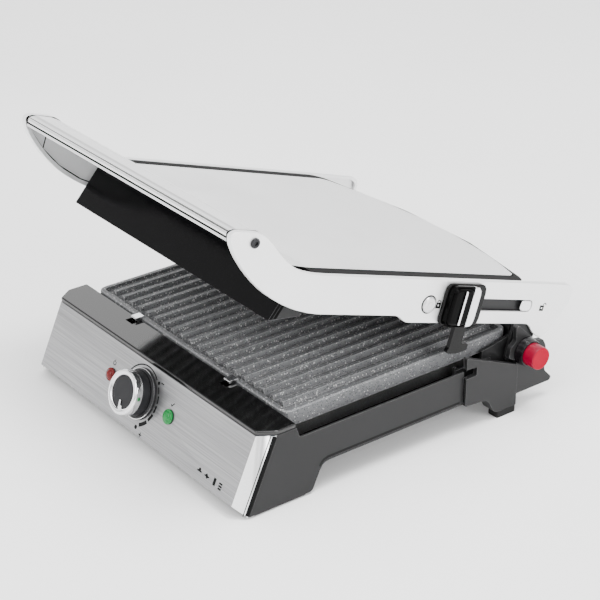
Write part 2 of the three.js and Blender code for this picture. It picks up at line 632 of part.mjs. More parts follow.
// ---------------------------------------------------------------- upper heating head
const head = new THREE.Group();
lid.add(head);
const headSide = outline([
  [-3, 78.3, 1], [30.4, 82.9, 1], [30.4, 101.1], [284, 101.1], [284, 107, 2], [27, 107, 3],
  [18, 116, 1.5], [13.5, 116, 1],
]);
const headHollow = outline([
  [1.2, 81.4], [27.8, 85.4], [27.8, 101], [34, 101], [34, 90], [281.5, 90], [281.5, 104.5],
  [25.6, 104.5], [16.6, 113], [15.2, 112.6],
]);
const ear = across(rectangle(150, 180, 91, 106, 5), 150.4, 155.8);
const earLeft = across(rectangle(150, 180, 91, 106, 5), -155.8, -150.4);
const shell = joined(across(headSide, -151, 151)).subtract(solid(across(headHollow, -148.5, 148.5)));
add(head, 'head_housing', without(
  shell.add(solid(ear)).add(solid(earLeft)),
  barAcross(4.15, -156, -150, RIVET_Y, RIVET_Z),
  barAcross(4.15, 150, 156, RIVET_Y, RIVET_Z),
), 0x161617, 0.4);

const plateBack = 283.6;
const face = RIDGE_TOP + PLATE_GAP;
const upperPlate = castPlate(plateBack - PLATE_DEPTH, PLATE_DEPTH).rotate([0, 180, 0]).translate([0, 0, face + RIDGE_TOP]);
add(head, 'upper_plate', upperPlate, STONE, 0.55, 0.1);
const upperHeater = heater(56, 96);
add(head, 'upper_heater', upperHeater, 0x3a3a3c, 0.5, 0.6);
add(head, 'upper_reflector', upward(rectangle(-144, 144, 40, 276, 6), 100.6, 101.8), ALUMINIUM, 0.3, 1);

export default press;
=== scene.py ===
import json
import math

import bmesh
import bpy
from mathutils import Matrix, Vector


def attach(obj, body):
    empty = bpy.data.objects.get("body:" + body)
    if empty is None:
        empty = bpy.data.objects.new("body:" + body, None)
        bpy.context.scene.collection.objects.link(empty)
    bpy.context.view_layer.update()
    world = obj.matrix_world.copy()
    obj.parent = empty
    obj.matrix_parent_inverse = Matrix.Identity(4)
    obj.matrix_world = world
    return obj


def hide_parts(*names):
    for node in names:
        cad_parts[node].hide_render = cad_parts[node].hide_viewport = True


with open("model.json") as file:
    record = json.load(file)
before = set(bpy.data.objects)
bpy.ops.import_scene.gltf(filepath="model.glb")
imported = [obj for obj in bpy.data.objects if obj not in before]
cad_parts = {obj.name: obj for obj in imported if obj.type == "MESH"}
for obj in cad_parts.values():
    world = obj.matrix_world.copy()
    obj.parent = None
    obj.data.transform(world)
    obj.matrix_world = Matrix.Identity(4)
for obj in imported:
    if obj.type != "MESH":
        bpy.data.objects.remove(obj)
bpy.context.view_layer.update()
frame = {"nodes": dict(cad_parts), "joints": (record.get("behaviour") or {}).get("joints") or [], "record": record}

scene = bpy.context.scene

# ------------------------------------------------------------------ camera
# A long lens from the front right, a little above the lid, so that the press keeps its true
# proportions. The view is level across and looks at the middle of the base.
CAMERA_PLACE = (1.25328, -0.95670, 0.88644)
CAMERA_TILT = math.radians(90 - 26.896)
CAMERA_TURN = math.radians(52.509)

camera_data = bpy.data.cameras.new("camera")
camera_data.lens = 112.614
camera_data.sensor_width = 36.0
camera_data.clip_end = 30.0
camera = bpy.data.objects.new("camera", camera_data)
camera.location = CAMERA_PLACE
camera.rotation_euler = (CAMERA_TILT, 0.0, CAMERA_TURN)
scene.collection.objects.link(camera)
scene.camera = camera

# ------------------------------------------------------------------ floor and studio light
# A wide sheet of white paper under the press and a white room round it. The room has a soft grey
# band low down and a dark one higher up, so that polished metal has something to show.
def new_material(name, **sockets):
    material = bpy.data.materials.new(name)
    material.use_nodes = True
    shader = material.node_tree.nodes["Principled BSDF"]
    for socket, value in sockets.items():
        shader.inputs[socket.replace("_", " ")].default_value = value
    return material, material.node_tree, shader


def node_in(tree, kind, **inputs):
    node = tree.nodes.new("ShaderNode" + kind)
    for socket, value in inputs.items():
        socket = node.inputs[socket.replace("_", " ")]
        if isinstance(value, bpy.types.NodeSocket):
            tree.links.new(value, socket)
        else:
            socket.default_value = value
    return node


def stepped_colours(tree, value, *stops):
    ramp = node_in(tree, "ValToRGB", Fac=value)
    while len(ramp.color_ramp.elements) < len(stops):
        ramp.color_ramp.elements.new(0.5)
    for element, (position, colour) in zip(ramp.color_ramp.elements, stops):
        element.position = position
        element.color = (*colour, 1) if isinstance(colour, tuple) else (colour, colour, colour, 1)
    return ramp.outputs["Color"]


def linked_object(name, mesh):
    made = bpy.data.objects.new(name, mesh)
    scene.collection.objects.link(made)
    return made


paper, paper_tree, paper_shader = new_material("white paper", Roughness=0.8)
paper_place = node_in(paper_tree, "TexCoord").outputs["Object"]
paper_tooth = node_in(paper_tree, "TexNoise", Vector=paper_place, Scale=3.0).outputs["Fac"]
paper_tree.links.new(
    stepped_colours(paper_tree, paper_tooth, (0.3, 0.93), (0.7, 0.96)),
    paper_shader.inputs["Base Color"])

FLOOR_HALF = 6.0
floor_bm = bmesh.new()
bmesh.ops.create_grid(floor_bm, x_segments=2, y_segments=2, size=FLOOR_HALF)
floor_mesh = bpy.data.meshes.new("studio_floor")
floor_bm.to_mesh(floor_mesh)
floor_bm.free()
floor_mesh.materials.append(paper)
linked_object("studio_floor", floor_mesh)

ROOM_STRENGTH = 2.5
ROOM_BANDS = (
    (0.04, 1.0), (0.19, 0.34), (0.42, 1.0), (0.50, 1.0), (0.57, 0.06), (0.73, 0.06), (0.80, 1.0))
world = bpy.data.worlds.new("white room")
world.use_nodes = True
room_tree = world.node_tree
room_way = node_in(room_tree, "TexCoord").outputs["Generated"]
room_height = node_in(room_tree, "SeparateXYZ", Vector=room_way)
room_tree.links.new(
    stepped_colours(room_tree, room_height.outputs["Z"], *ROOM_BANDS),
    room_tree.nodes["Background"].inputs["Color"])
room_tree.nodes["Background"].inputs["Strength"].default_value = ROOM_STRENGTH
scene.world = world


def soft_box(name, place, size, power):
    lamp = bpy.data.lights.new(name, "AREA")
    lamp.shape = "RECTANGLE"
    lamp.size = size
    lamp.size_y = size
    lamp.energy = power
    holder = linked_object(name, lamp)
    holder.location = place
    holder.rotation_euler = (-Vector(place)).to_track_quat("-Z", "Y").to_euler()


soft_box("soft_box_front", (0.3, -1.9, 1.7), 1.2, 40)
soft_box("soft_box_side", (2.2, 0.5, 1.2), 1.2, 36)
soft_box("soft_box_top", (0.5, 0.3, 2.4), 1.0, 60)

# ------------------------------------------------------------------ base housing and floor plate
# One injection-moulded shell of black glass-filled plastic, with a fine spark-eroded grain and
# soft moulded edges. A flat floor plate of the same plastic closes it below.
BLACK = (0.0135, 0.0135, 0.014, 1)
# The black mouldings' lighter edge colour is partly edge wear and partly a painted highlight along the edges.
BLACK_EDGE_WEAR_AND_HIGHLIGHT = (0.15, 0.15, 0.153, 1)

body_of = {}
for body, nodes in frame["record"]["behaviour"]["bodies"].items():
    for node in nodes:
        body_of[node] = body


def math_in(tree, operation, first, second, third=None, clamp=False):
    node = tree.nodes.new("ShaderNodeMath")
    node.operation = operation
    node.use_clamp = clamp
    for socket, value in zip(node.inputs, (first, second, third)):
        if isinstance(value, bpy.types.NodeSocket):
            tree.links.new(value, socket)
        elif value is not None:
            socket.default_value = value
    return node.outputs[0]


def mixed(tree, mask, first, second):
    node = tree.nodes.new("ShaderNodeMix")
    node.data_type = "RGBA"
    for index, value in ((0, mask), (6, first), (7, second)):
        if isinstance(value, bpy.types.NodeSocket):
            tree.links.new(value, node.inputs[index])
        else:
            node.inputs[index].default_value = value
    return node.outputs[2]


def effect_group(name, inputs, outputs):
    tree = bpy.data.node_groups.new(name, "ShaderNodeTree")
    for socket, kind, value in inputs:
        made = tree.interface.new_socket(name=socket, in_out="INPUT", socket_type=kind)
        if value is not None:
            made.default_value = value
    for socket, kind in outputs:
        tree.interface.new_socket(name=socket, in_out="OUTPUT", socket_type=kind)
    return tree, tree.nodes.new("NodeGroupInput").outputs, tree.nodes.new("NodeGroupOutput").inputs


def effect(tree, group, **inputs):
    node = tree.nodes.new("ShaderNodeGroup")
    node.node_tree = group
    for socket, value in inputs.items():
        socket = node.inputs[socket.replace("_", " ")]
        if isinstance(value, bpy.types.NodeSocket):
            tree.links.new(value, socket)
        else:
            socket.default_value = value
    return node.outputs


# Fine grain gives a height for the tooth of the mould and a slow tone change over the part.
grain, grain_in, grain_out = effect_group(
    "fine grain",
    [("Place", "NodeSocketVector", None), ("Cells", "NodeSocketFloat", 1400.0)],
    [("Height", "NodeSocketFloat"), ("Tone", "NodeSocketFloat")])
tooth = node_in(grain, "TexNoise", Vector=grain_in["Place"], Scale=grain_in["Cells"], Detail=2.0)
tone = node_in(grain, "TexNoise", Vector=grain_in["Place"], Scale=19.0, Detail=3.0)
grain.links.new(tooth.outputs["Fac"], grain_out["Height"])
grain.links.new(tone.outputs["Fac"], grain_out["Tone"])

# Edge wear is a mask that is bright where the surface turns sharply, broken up by small scuffs. On
# the black mouldings the lighter colour it lays on the edges is also a painted highlight.
WEAR_GAIN = 7.0
wear_and_highlight, wear_in, wear_out = effect_group(
    "edge wear",
    [("Place", "NodeSocketVector", None), ("Width", "NodeSocketFloat", 0.0008)],
    [("Mask", "NodeSocketFloat")])
rounded = node_in(wear_and_highlight, "Bevel", Radius=wear_in["Width"])
rounded.samples = 4
true_face = node_in(wear_and_highlight, "NewGeometry")
match = wear_and_highlight.nodes.new("ShaderNodeVectorMath")
match.operation = "DOT_PRODUCT"
wear_and_highlight.links.new(rounded.outputs["Normal"], match.inputs[0])
wear_and_highlight.links.new(true_face.outputs["Normal"], match.inputs[1])
scuffs = node_in(wear_and_highlight, "TexNoise", Vector=wear_in["Place"], Scale=210.0, Detail=3.0)
turned_away = math_in(wear_and_highlight, "MULTIPLY_ADD", match.outputs["Value"], -WEAR_GAIN, WEAR_GAIN, clamp=True)
wear_and_highlight.links.new(math_in(wear_and_highlight, "MULTIPLY", turned_away, scuffs.outputs["Fac"]), wear_out["Mask"])

# Dust is a faint patchy mask that lies mostly on surfaces facing up.
DUST_MOST = 0.25
DUST_GREY = (0.05, 0.05, 0.05, 1)
dust, dust_in, dust_out = effect_group(
    "dust film", [("Place", "NodeSocketVector", None)], [("Mask", "NodeSocketFloat")])
dust_face = node_in(dust, "SeparateXYZ", Vector=node_in(dust, "NewGeometry").outputs["Normal"])
dust_patches = node_in(dust, "TexNoise", Vector=dust_in["Place"], Scale=46.0, Detail=5.0)
facing_up = math_in(dust, "MULTIPLY", dust_face.outputs["Z"], DUST_MOST, clamp=True)
dust.links.new(math_in(dust, "MULTIPLY", facing_up, dust_patches.outputs["Fac"]), dust_out["Mask"])


def place_in(tree, stretch=(1, 1, 1)):
    place = node_in(tree, "TexCoord").outputs["Object"]
    return node_in(tree, "Mapping", Vector=place, Scale=stretch).outputs["Vector"]


def relief(tree, shader, height, strength, depth=0.0002):
    bump = node_in(tree, "Bump", Height=height, Strength=strength, Distance=depth)
    tree.links.new(bump.outputs["Normal"], shader.inputs["Normal"])


def darker(colour, share):
    return (*(channel * share for channel in colour[:3]), 1)


def moulded_plastic(name, colour, rubbed, roughness, tooth_depth=0.12, cells=1400.0):
    material, tree, shader = new_material(name, Specular_IOR_Level=0.2)
    place = place_in(tree)
    tooth = effect(tree, grain, Place=place, Cells=cells)
    deeper = darker(colour, 0.72)
    toned = mixed(tree, tooth["Tone"], deeper, colour)
    # The edge colour goes on through the edge mask; on the black mouldings it is partly a painted highlight.
    edge_toned = mixed(tree, effect(tree, wear_and_highlight, Place=place)["Mask"], toned, rubbed)
    dusty = mixed(tree, effect(tree, dust, Place=place)["Mask"], edge_toned, DUST_GREY)
    tree.links.new(dusty, shader.inputs["Base Color"])
    tree.links.new(
        math_in(tree, "MULTIPLY_ADD", tooth["Tone"], 0.16, roughness - 0.08),
        shader.inputs["Roughness"])
    relief(tree, shader, tooth["Height"], tooth_depth)
    return material


# A machined or moulded part keeps its flats and gets its real edge radius.
def edged(bm, radius, steps=2, corner=33.0):
    inner = [edge for edge in bm.edges if len(edge.link_faces) == 2]
    sharp = [edge for edge in inner if edge.calc_face_angle() > math.radians(corner)]
    bmesh.ops.bevel(bm, geom=sharp, offset=radius, offset_type="OFFSET", segments=steps, profile=0.5,
                    affect="EDGES", clamp_overlap=True, material=-1)


def finished(name, bm, material, smooth=42.0):
    mesh = bpy.data.meshes.new(name)
    bm.to_mesh(mesh)
    bm.free()
    mesh.shade_smooth()
    mesh.set_sharp_from_angle(angle=math.radians(smooth))
    mesh.materials.append(material)
    piece = linked_object(name, mesh)
    flats = piece.modifiers.new("flats stay flat", "WEIGHTED_NORMAL")
    flats.keep_sharp = True
    return piece


def standing_for(piece, *nodes):
    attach(piece, body_of[nodes[0]])
    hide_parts(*nodes)
    return piece


def copied(node):
    bm = bmesh.new()
    bm.from_mesh(frame["nodes"][node].data)
    bmesh.ops.remove_doubles(bm, verts=bm.verts, dist=0.00001)
    bmesh.ops.dissolve_limit(bm, angle_limit=math.radians(0.8), verts=bm.verts, edges=bm.edges)
    return bm


def edged_copy(node, material, radius, steps=2, corner=33.0, smooth=42.0):
    bm = copied(node)
    edged(bm, radius, steps, corner)
    return standing_for(finished(node + "_finished", bm, material, smooth), node)


black_moulding = moulded_plastic("black moulding", BLACK, BLACK_EDGE_WEAR_AND_HIGHLIGHT, 0.42)
edged_copy("base_housing", black_moulding, 0.0006)
edged_copy("base_floor", black_moulding, 0.0003)

# ------------------------------------------------------------------ control panel
# A bent sheet of stainless steel, brushed across its width and screwed on from behind. Its two
# ends are folded back; the folds are painted much lighter than the panel as a painted highlight,
# and the sheet's cut ends are painted near black as painted shade.
STEEL = (0.39, 0.39, 0.395, 1)
STEEL_DARK = (0.24, 0.24, 0.245, 1)
STEEL_HIGHLIGHT = (0.86, 0.865, 0.87, 1)
STEEL_HIGHLIGHT_PEAK = (0.93, 0.93, 0.935, 1)
SMUDGE_GREY = (0.3, 0.3, 0.3, 1)
FOLD_STARTS = 0.1575
FOLD_ENDS = 0.16

# Brushing is a set of fine lines that run along x, with a tone and a height.
brushing, brushing_in, brushing_out = effect_group(
    "brushing",
    [("Place", "NodeSocketVector", None)],
    [("Tone", "NodeSocketFloat"), ("Height", "NodeSocketFloat")])
long_lines = node_in(
    brushing, "Mapping", Vector=brushing_in["Place"], Scale=(5.0, 620.0, 620.0)).outputs["Vector"]
fine_lines = node_in(
    brushing, "Mapping", Vector=brushing_in["Place"], Scale=(16.0, 2600.0, 2600.0)).outputs["Vector"]
long_noise = node_in(brushing, "TexNoise", Vector=long_lines, Scale=1.0, Detail=3.0)
fine_noise = node_in(brushing, "TexNoise", Vector=fine_lines, Scale=1.0, Detail=2.0)
brushing.links.new(
    math_in(brushing, "MULTIPLY_ADD", fine_noise.outputs["Fac"], 0.5,
            math_in(brushing, "MULTIPLY", long_noise.outputs["Fac"], 0.5)),
    brushing_out["Tone"])
brushing.links.new(fine_noise.outputs["Fac"], brushing_out["Height"])


# The tones of the brushing from low to high are spread over the metal's dark and light colours.
def brushed_metal(name, dark, light, roughness, metallic=1.0, depth=0.05, low=0.35, high=0.65):
    material, tree, shader = new_material(name, Metallic=metallic)
    place = place_in(tree)
    lines = effect(tree, brushing, Place=place)
    spread = math_in(
        tree, "MULTIPLY_ADD", lines["Tone"], 1 / (high - low), -low / (high - low), clamp=True)
    slow = effect(tree, grain, Place=place)["Tone"]
    shade = mixed(tree, spread, dark, light)
    smudged = mixed(tree, math_in(tree, "MULTIPLY", slow, 0.12), shade, SMUDGE_GREY)
    tree.links.new(smudged, shader.inputs["Base Color"])
    tree.links.new(
        math_in(tree, "MULTIPLY_ADD", slow, 0.14, roughness - 0.07), shader.inputs["Roughness"])
    relief(tree, shader, lines["Height"], depth)
    return material


brushed_panel = brushed_metal("brushed panel", STEEL_DARK, STEEL, 0.36, depth=0.10)
# The folds take a much lighter copy of the panel steel: a painted highlight.
fold_highlight = brushed_metal("fold highlight", STEEL_HIGHLIGHT, STEEL_HIGHLIGHT_PEAK, 0.3, depth=0.03)
# The end faces of the sheet take a near-black finish: painted shade.
cut_end_shade = moulded_plastic("cut end shade", (0.004, 0.004, 0.004, 1), (0.02, 0.02, 0.02, 1), 0.5, 0.02)


# Some faces of a piece can take another material than the rest, for a different finish and also for painted light
# and shade on chosen faces.
def other_material_on(piece, material, chosen):
    piece.data.materials.append(material)
    for face in piece.data.polygons:
        if chosen(face):
            face.material_index = len(piece.data.materials) - 1


def on_fold(face):
    return 0.3 < abs(face.normal.x) < 0.8 and abs(face.center.x) > FOLD_STARTS


def on_cut_end(face):
    return abs(face.normal.x) > 0.8 and abs(face.center.x) > FOLD_ENDS


panel_piece = edged_copy("control_panel", brushed_panel, 0.00025, steps=1)
other_material_on(panel_piece, fold_highlight, on_fold)
other_material_on(panel_piece, cut_end_shade, on_cut_end)

# ------------------------------------------------------------------ marks on the panel
# Dial scale, lamp signs and small pictograms, screen printed in black ink on the steel.
dial_joint = next(j for j in frame["joints"] if j["name"] == "thermostat_turn")
dial_out = -Vector(dial_joint["axis"]).normalized()
dial_up = dial_out.cross(Vector((1, 0, 0)))
on_dial = Matrix.Translation(dial_joint["pos_m"]) @ Matrix(
    ((1, dial_up.x, dial_out.x), (0, dial_up.y, dial_out.y), (0, dial_up.z, dial_out.z))).to_4x4()

INK_THICKNESS = 0.00006
SCALE_INNER = 0.0264
ink, ink_tree, ink_shader = new_material("black ink", Roughness=0.5, Specular_IOR_Level=0.1)
ink_specks = node_in(ink_tree, "TexNoise", Vector=place_in(ink_tree), Scale=1600.0).outputs["Fac"]
ink_tree.links.new(
    stepped_colours(ink_tree, ink_specks, (0.3, 0.001), (0.75, 0.004)), ink_shader.inputs["Base Color"])


def printed_arc(bm, inner, outer, start, sweep, centre=(0.0, 0.0)):
    ends = [bm.verts.new((r * math.cos(start) + centre[0], r * math.sin(start) + centre[1], 0))
            for r in (inner, outer)]
    edge = bm.edges.new(ends)
    bmesh.ops.spin(bm, geom=[*ends, edge], cent=(*centre, 0), axis=(0, 0, 1), angle=sweep,
                   steps=max(3, int(abs(sweep) * 12)), use_merge=False)


def printed_bar(bm, middle, size, turn=0.0):
    turned_there = Matrix.Translation((*middle, 0)) @ Matrix.Rotation(turn, 4, "Z")
    bmesh.ops.create_grid(bm, x_segments=1, y_segments=1, size=0.5,
                          matrix=turned_there @ Matrix.Diagonal((*size, 1, 1)))


def printed_dot(bm, middle, radius, sides=16):
    bmesh.ops.create_circle(
        bm, cap_ends=True, segments=sides, radius=radius, matrix=Matrix.Translation((*middle, 0)))


# Flat marks get the thickness of the ink and are laid onto their surface.
def printed_piece(name, bm, onto, material, body, thickness=INK_THICKNESS):
    bmesh.ops.remove_doubles(bm, verts=bm.verts, dist=0.000002)
    bmesh.ops.recalc_face_normals(bm, faces=bm.faces)
    for face in bm.faces:
        if face.normal.z < 0:
            face.normal_flip()
    sheet = bmesh.ops.extrude_face_region(bm, geom=bm.faces[:])
    lifted = [v for v in sheet["geom"] if isinstance(v, bmesh.types.BMVert)]
    bmesh.ops.translate(bm, verts=lifted, vec=(0, 0, thickness))
    bmesh.ops.transform(bm, matrix=onto, verts=bm.verts)
    bmesh.ops.recalc_face_normals(bm, faces=bm.faces)
    piece = finished(name, bm, material)
    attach(piece, body)
    return piece


# The scale is an arc and five dashes that grow, each with its start and sweep in degrees and its
# width in millimetres. A dot with a minus sign begins it, and a dot with a plus sign ends it.
DASHES = ((35, 13, 1.3), (18, 15, 1.7), (-1, 15, 2.1), (-20, 17, 2.8), (-41, 23, 3.6))
PLUS_SIGN = (0.0182, -0.0326)
scale_bm = bmesh.new()
printed_arc(scale_bm, SCALE_INNER - 0.0004, SCALE_INNER + 0.0009, math.radians(50), math.radians(112))
for start, sweep, width in DASHES:
    printed_arc(
        scale_bm, SCALE_INNER, SCALE_INNER + width / 1000, math.radians(start), -math.radians(sweep))
printed_dot(scale_bm, (0.0208, 0.0189), 0.0016)
printed_dot(scale_bm, (0.0092, -0.0288), 0.0020)
printed_bar(scale_bm, (0.0262, 0.0205), (0.0042, 0.0010))
printed_bar(scale_bm, PLUS_SIGN, (0.0044, 0.0010))
printed_bar(scale_bm, PLUS_SIGN, (0.0010, 0.0044))

# Over the lamps stand a switch sign, which is a broken ring with a bar, and a tick.
LAMP_STEP = 0.0475
printed_arc(scale_bm, 0.0015, 0.0023, math.radians(130), math.radians(280), centre=(-LAMP_STEP, 0.0105))
printed_bar(scale_bm, (-LAMP_STEP, 0.0123), (0.0008, 0.0026))
printed_bar(scale_bm, (LAMP_STEP - 0.0010, 0.0088), (0.0023, 0.0009), math.radians(-45))
printed_bar(scale_bm, (LAMP_STEP + 0.0010, 0.0098), (0.0048, 0.0009), math.radians(52))

# Four small signs stand in a row at the right: a lid, a diamond, an upright and a stack.
SIGN_DOWN = -0.026
LID_SIGN = 0.1087
DIAMOND_SIGN = 0.1197
UPRIGHT_SIGN = 0.1311
STACK_SIGN = 0.1396
printed_bar(scale_bm, (LID_SIGN, SIGN_DOWN), (0.0066, 0.0014))
printed_dot(scale_bm, (LID_SIGN, SIGN_DOWN + 0.0014), 0.0016, sides=12)
printed_bar(scale_bm, (DIAMOND_SIGN, SIGN_DOWN), (0.0068, 0.0012))
printed_bar(scale_bm, (DIAMOND_SIGN, SIGN_DOWN), (0.0030, 0.0040), math.radians(45))
printed_bar(scale_bm, (UPRIGHT_SIGN, SIGN_DOWN), (0.0034, 0.0068))
for lift in (0.0018, -0.0006, -0.0030):
    printed_bar(scale_bm, (STACK_SIGN, SIGN_DOWN + lift), (0.0046, 0.0016))
printed_piece("panel_marks", scale_bm, on_dial, ink, "base")

# Places along y are measured from the panel's top edge, which lies this many millimetres in front
# of the middle of the whole press.
MIDDLE = 162.82

# Behind each fold the steel turns in. Two strips of black ink, drawn over a share of the fold's
# width, are painted shade there: a fine dark line and a dark band over the turned-in return.
FOLD_FRONT = 0.1574
FOLD_ACROSS = 0.0101
FOLD_BACK = 0.0143
FOLD_SHADE_BANDS = ((0.70, 0.75), (0.82, 1.03))
PANEL_TOP = 0.072
PANEL_LEAN = 31 / 70
fold_shade_lines = bmesh.new()
for sign in (1, -1):
    for start, end in FOLD_SHADE_BANDS:
        corners = []
        for share, z in ((start, 0.0716), (end, 0.0716), (end, 0.0034), (start, 0.0040)):
            x = sign * (FOLD_FRONT + FOLD_ACROSS * share)
            y = FOLD_BACK * share - PANEL_LEAN * (PANEL_TOP - z) - MIDDLE / 1000
            corners.append(fold_shade_lines.verts.new((x, y, z)))
        band = bmesh.ops.extrude_face_region(fold_shade_lines, geom=[fold_shade_lines.faces.new(corners)])
        lifted = [v for v in band["geom"] if isinstance(v, bmesh.types.BMVert)]
        bmesh.ops.translate(fold_shade_lines, verts=lifted, vec=(sign * 0.00020, -0.00015, 0))
bmesh.ops.recalc_face_normals(fold_shade_lines, faces=fold_shade_lines.faces)
fold_shade_piece = finished("panel_fold_shade_lines", fold_shade_lines, ink)
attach(fold_shade_piece, "base")

# A black ink strip on each side wall is painted shade in the groove that sets off the wall's lower
# lip, from the foot back to the bracket.
SIDE_WALL = 0.1675
GROOVE_SHADE_OUTLINE = ((61.6, 24.2), (63.4, 27.0), (66.0, 28.9), (70.0, 29.7), (222.0, 29.7), (222.0, 32.2),
                  (69.0, 32.2), (64.6, 30.9), (61.6, 28.4), (59.8, 25.2))


def outlined(bm, outline):
    bm.faces.new([bm.verts.new(((y - MIDDLE) / 1000, z / 1000, 0)) for y, z in outline])


# A drawing made flat is stood up on a side of the press, at x, and faces along x one way or the other.
def stood_at(x, facing):
    return Matrix(((0, 0, facing, x), (1, 0, 0, 0), (0, 1, 0, 0), (0, 0, 0, 1)))


for side, sign in (("right", 1), ("left", -1)):
    groove_shade_strip = bmesh.new()
    outlined(groove_shade_strip, GROOVE_SHADE_OUTLINE)
    wall = stood_at(sign * SIDE_WALL, sign)
    printed_piece("side_groove_shade_" + side, groove_shade_strip, wall, ink, "base")

# ------------------------------------------------------------------ ledge
# High-gloss black moulding between the panel and the lower plate, clipped into the housing. Its
# top is polished like a mirror and its edges are softly rolled.
def polished_plastic(name, colour, roughness, shine=0.4, swirl=0.04):
    material, tree, shader = new_material(name, Specular_IOR_Level=shine)
    place = place_in(tree)
    slow = effect(tree, grain, Place=place)["Tone"]
    deeper = darker(colour, 0.7)
    toned = mixed(tree, slow, deeper, colour)
    rubbed = (*(channel + 0.012 for channel in colour[:3]), 1)
    edge_toned = mixed(tree, effect(tree, wear_and_highlight, Place=place, Width=0.0005)["Mask"], toned, rubbed)
    dusty = mixed(tree, effect(tree, dust, Place=place)["Mask"], edge_toned, (0.008, 0.008, 0.008, 1))
    tree.links.new(dusty, shader.inputs["Base Color"])
    tree.links.new(
        math_in(tree, "MULTIPLY_ADD", slow, swirl, roughness - swirl / 2), shader.inputs["Roughness"])
    return material


gloss_black = polished_plastic("gloss black", (0.002, 0.002, 0.002, 1), 0.07, shine=0.6, swirl=0.02)
edged_copy("ledge", gloss_black, 0.0007, steps=3)

# ------------------------------------------------------------------ thermostat dial
# Knob of black thermoplastic with a turned, chrome-plated ring pressed over its front and a
# small chrome pointer. It turns in a black collar on the panel, on a steel shaft.
CHROME = (0.88, 0.885, 0.89, 1)
KNOB_FRONT = 0.0193
POINTER_ANGLE = math.radians(281)


def polished_metal(name, colour, roughness=0.08):
    material, tree, shader = new_material(name, Metallic=1.0)
    place = place_in(tree)
    slow = effect(tree, grain, Place=place)["Tone"]
    duller = (colour[0] * 0.86, colour[1] * 0.86, colour[2] * 0.87, 1)
    tree.links.new(mixed(tree, slow, duller, colour), shader.inputs["Base Color"])
    tree.links.new(
        math_in(tree, "MULTIPLY_ADD", slow, 0.08, roughness - 0.03), shader.inputs["Roughness"])
    return material


# A turned piece is spun round its axis from corner points, (radius, height) in millimetres.
def turned(name, points, onto, material, steps=72, smooth=38.0):
    bm = bmesh.new()
    corners = [bm.verts.new((radius / 1000, 0, height / 1000)) for radius, height in points]
    edges = [bm.edges.new(pair) for pair in zip(corners, corners[1:])]
    if points[0][0] > 0 and points[-1][0] > 0:
        edges.append(bm.edges.new((corners[-1], corners[0])))
    bmesh.ops.spin(bm, geom=corners + edges, cent=(0, 0, 0), axis=(0, 0, 1), angle=math.tau,
                   steps=steps, use_merge=True)
    bmesh.ops.remove_doubles(bm, verts=bm.verts, dist=0.000002)
    bmesh.ops.recalc_face_normals(bm, faces=bm.faces)
    bmesh.ops.transform(bm, matrix=onto, verts=bm.verts)
    return finished(name, bm, material, smooth)


chrome = polished_metal("chrome plate", CHROME)
knob_black = moulded_plastic("knob black", (0.014, 0.014, 0.016, 1), (0.10, 0.10, 0.10, 1), 0.36, 0.05)
# The knob's front face takes a darker copy of the knob plastic: painted shade on the face.
knob_face_shaded = moulded_plastic("knob face shaded", (0.009, 0.009, 0.011, 1), (0.10, 0.10, 0.10, 1), 0.45, 0.05)

standing_for(turned("dial_collar_turned", [
    (19.6, 0.3), (23.9, 0.3), (24.0, 0.5), (24.0, 1.7), (23.7, 2.1), (23.0, 2.2), (22.8, 2.6),
    (22.6, 3.3), (22.2, 3.75), (21.2, 3.8), (20.0, 3.8), (19.6, 3.5)], on_dial, knob_black),
    "dial_collar")
collar_line = turned("dial_collar_line", [
    (23.05, 2.21), (23.55, 2.15), (23.55, 2.3), (23.05, 2.36)], on_dial, chrome)
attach(collar_line, "base")

knob_piece = standing_for(turned("knob_body_turned", [
    (3.3, 4.4), (20.3, 4.4), (20.9, 4.7), (21.0, 5.3), (20.9, 6.4), (20.6, 9.6), (20.3, 12.2),
    (20.0, 12.6), (15.1, 12.6), (15.1, 19.2), (14.9, 19.5), (14.4, 19.7), (6.0, 19.62), (0, 19.6),
    (0, 15.6), (3.3, 15.6)], on_dial, knob_black), "knob_body")


def on_knob_front(face):
    return (face.center - on_dial.translation).dot(dial_out) > KNOB_FRONT


other_material_on(knob_piece, knob_face_shaded, on_knob_front)
standing_for(turned("knob_ring_turned", [
    (15.5, 13.0), (20.4, 13.0), (21.0, 13.3), (21.2, 13.9), (21.1, 16.5), (20.9, 19.2),
    (20.6, 20.0), (20.0, 20.6), (19.2, 20.8), (17.6, 20.75), (16.6, 20.4), (15.8, 19.9),
    (15.5, 19.4)], on_dial, chrome), "knob_ring")
edged_copy("knob_pointer", chrome, 0.0002)

# The pointer grows from a small round boss near the edge of the knob's front.
pointer_root = bmesh.new()
pointer_line = on_dial @ Matrix.Rotation(POINTER_ANGLE, 4, "Z")
pointer_place = pointer_line @ Matrix.Translation((0.0141, 0, 0.01985))
bmesh.ops.create_cone(pointer_root, cap_ends=True, segments=24, radius1=0.0027, radius2=0.0020,
                      depth=0.0009, matrix=pointer_place)
edged(pointer_root, 0.0002)
pointer_root = finished("knob_pointer_root", pointer_root, chrome)
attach(pointer_root, "knob")

turned_steel = brushed_metal(
    "turned steel", (0.32, 0.32, 0.33, 1), (0.52, 0.52, 0.53, 1), 0.34, depth=0.03)
edged_copy("knob_shaft", turned_steel, 0.0002)

ceramic = moulded_plastic("glazed ceramic", (0.62, 0.58, 0.48, 1), (0.7, 0.67, 0.6, 1), 0.5, 0.2, 900.0)
for node in ("thermostat", "terminal_block"):
    edged_copy(node, ceramic, 0.0005)

